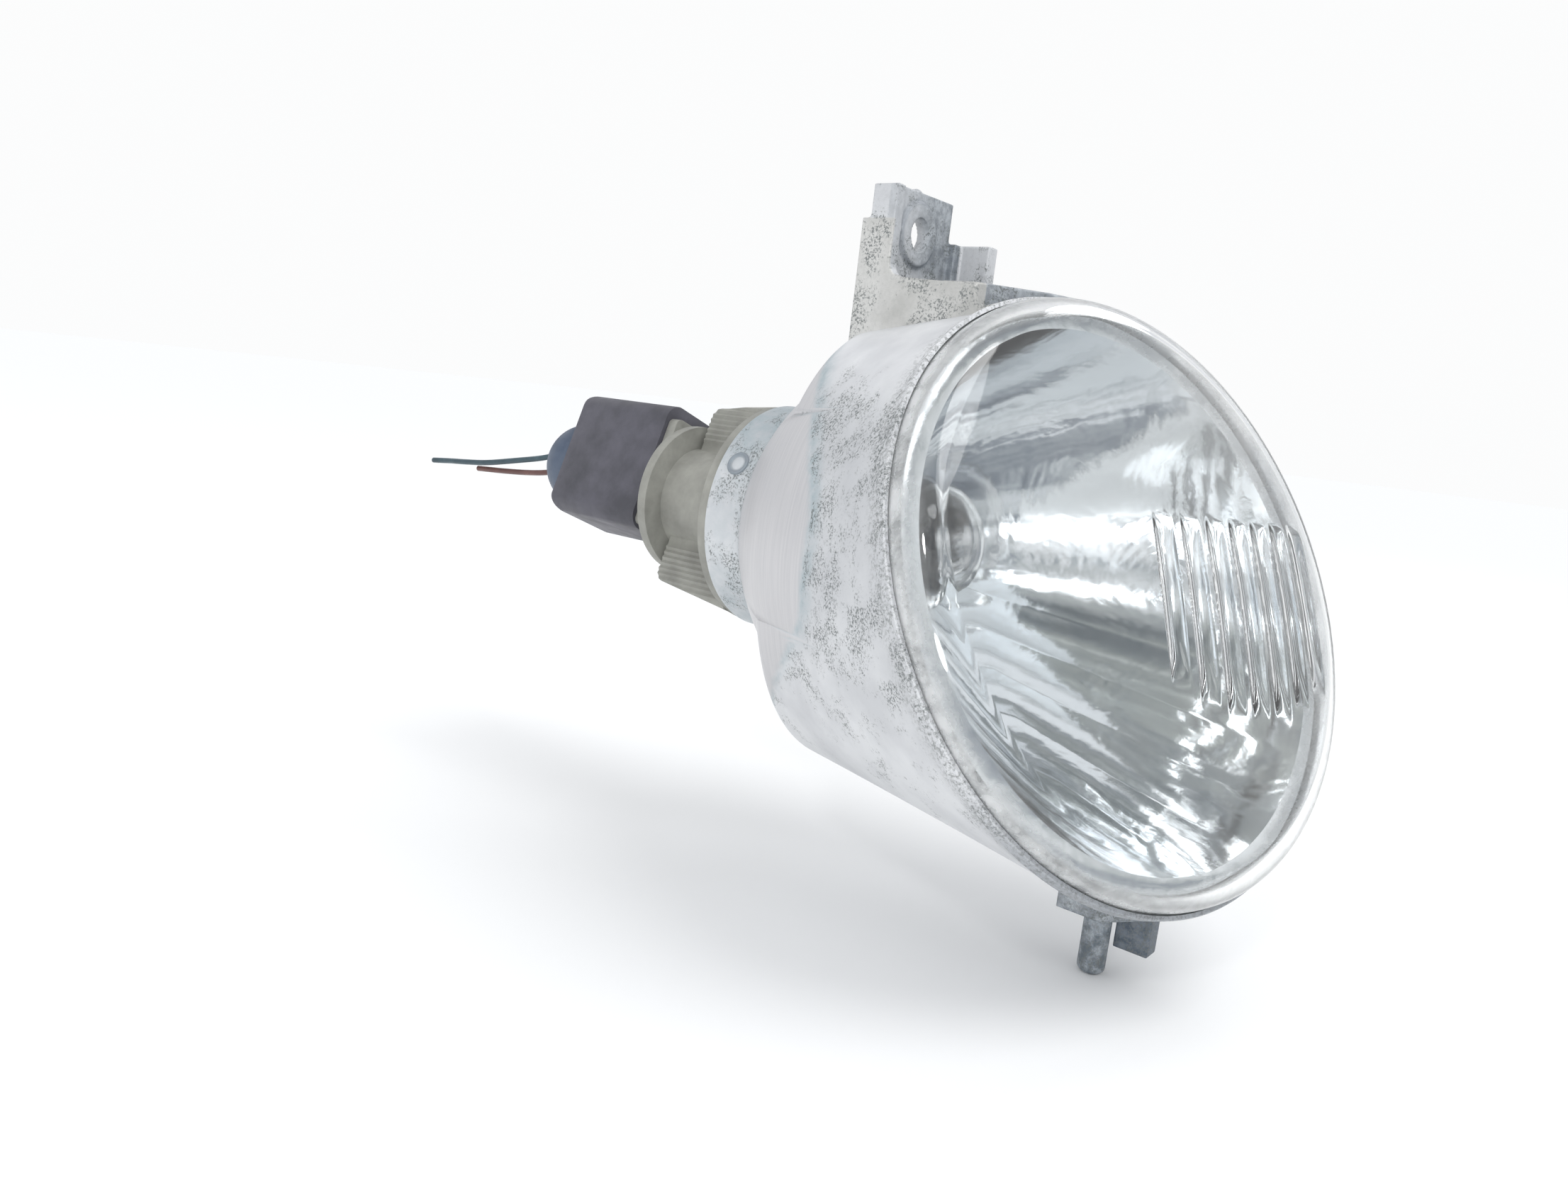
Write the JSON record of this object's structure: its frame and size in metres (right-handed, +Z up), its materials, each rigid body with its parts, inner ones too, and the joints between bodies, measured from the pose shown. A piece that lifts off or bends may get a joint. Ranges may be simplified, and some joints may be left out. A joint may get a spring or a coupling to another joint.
{
  "type": "car turn signal light",
  "caption": "Car turn signal lamp: metal housing with fixing bracket and locating peg, clear fluted lens, reflector, twist-in bayonet bulb holder and plug-on connector with two short wires.",
  "frame": {"origin": "centre of the fixing hole in the top bracket", "axes": "-Y forward to the lens and out of the hole's front, +Y rearwards along the bulb axis to the wires, +Z up, -X towards the outboard side"},
  "size_m": [0.1049, 0.2254, 0.134],
  "materials": {
    "housing": "worn satin",
    "lens": "clear",
    "reflector": "bright",
    "sealant": "matt",
    "holder": "matt",
    "holder_seal": "matt",
    "brass": "plain",
    "tinned_brass": "tinned",
    "phenolic": "matt",
    "spring_steel": "plain",
    "bulb_glass": "clear",
    "black_glass": "gloss",
    "solder": "satin",
    "stem_glass": "clear",
    "tungsten": "plain",
    "connector": "matt",
    "rubber_boot": "matt",
    "wire_blue": "satin",
    "wire_brown": "satin"
  },
  "bodies": {
    "housing": {"housing": "housing", "lens": "lens", "reflector": "reflector", "lens_sealant": "sealant"},
    "holder": {"holder_body": "holder", "holder_seal": "holder_seal", "bayonet_sleeve": "brass", "contact_insulator": "phenolic", "live_terminal": "tinned_brass", "earth_terminal": "tinned_brass", "contact_spring": "spring_steel"},
    "bulb": {"bulb_glass": "bulb_glass", "bulb_cap": "brass", "bulb_pins": "brass", "bulb_insulator": "black_glass", "bulb_tip": "solder", "bulb_stem": "stem_glass", "filament_supports": "tungsten", "filament": "tungsten"},
    "plunger": {"plunger_disc": "phenolic", "contact_button": "brass"},
    "connector": {"connector_shell": "connector", "connector_seal": "rubber_boot", "live_receptacle": "tinned_brass", "earth_receptacle": "tinned_brass", "wire_upper": "wire_blue", "wire_lower": "wire_brown"}
  },
  "joints": [
    {"name": "holder_twist", "type": "hinge", "parent": "housing", "child": "holder", "pos_m": [0.001, 0.02535, -0.0573], "axis": [0, 1, 0], "range_deg": [0, 40]},
    {"name": "bulb_press", "type": "slide", "parent": "holder", "child": "bulb", "axis": [0, 1, 0], "range_m": [0, 0.0022], "stiffness_N_per_m": 4000, "springref_m": -0.001, "deforming": ["contact_spring"]},
    {"name": "plunger_slide", "type": "slide", "parent": "holder", "child": "plunger", "axis": [0, 1, 0], "range_m": [0, 0.0022]},
    {"name": "connector_unplug", "type": "slide", "parent": "holder", "child": "connector", "axis": [0, 1, 0], "range_m": [0, 0.0175]}
  ],
  "couplings": [
    {"joint": "plunger_slide", "follows": "bulb_press", "ratio": 1}
  ]
}
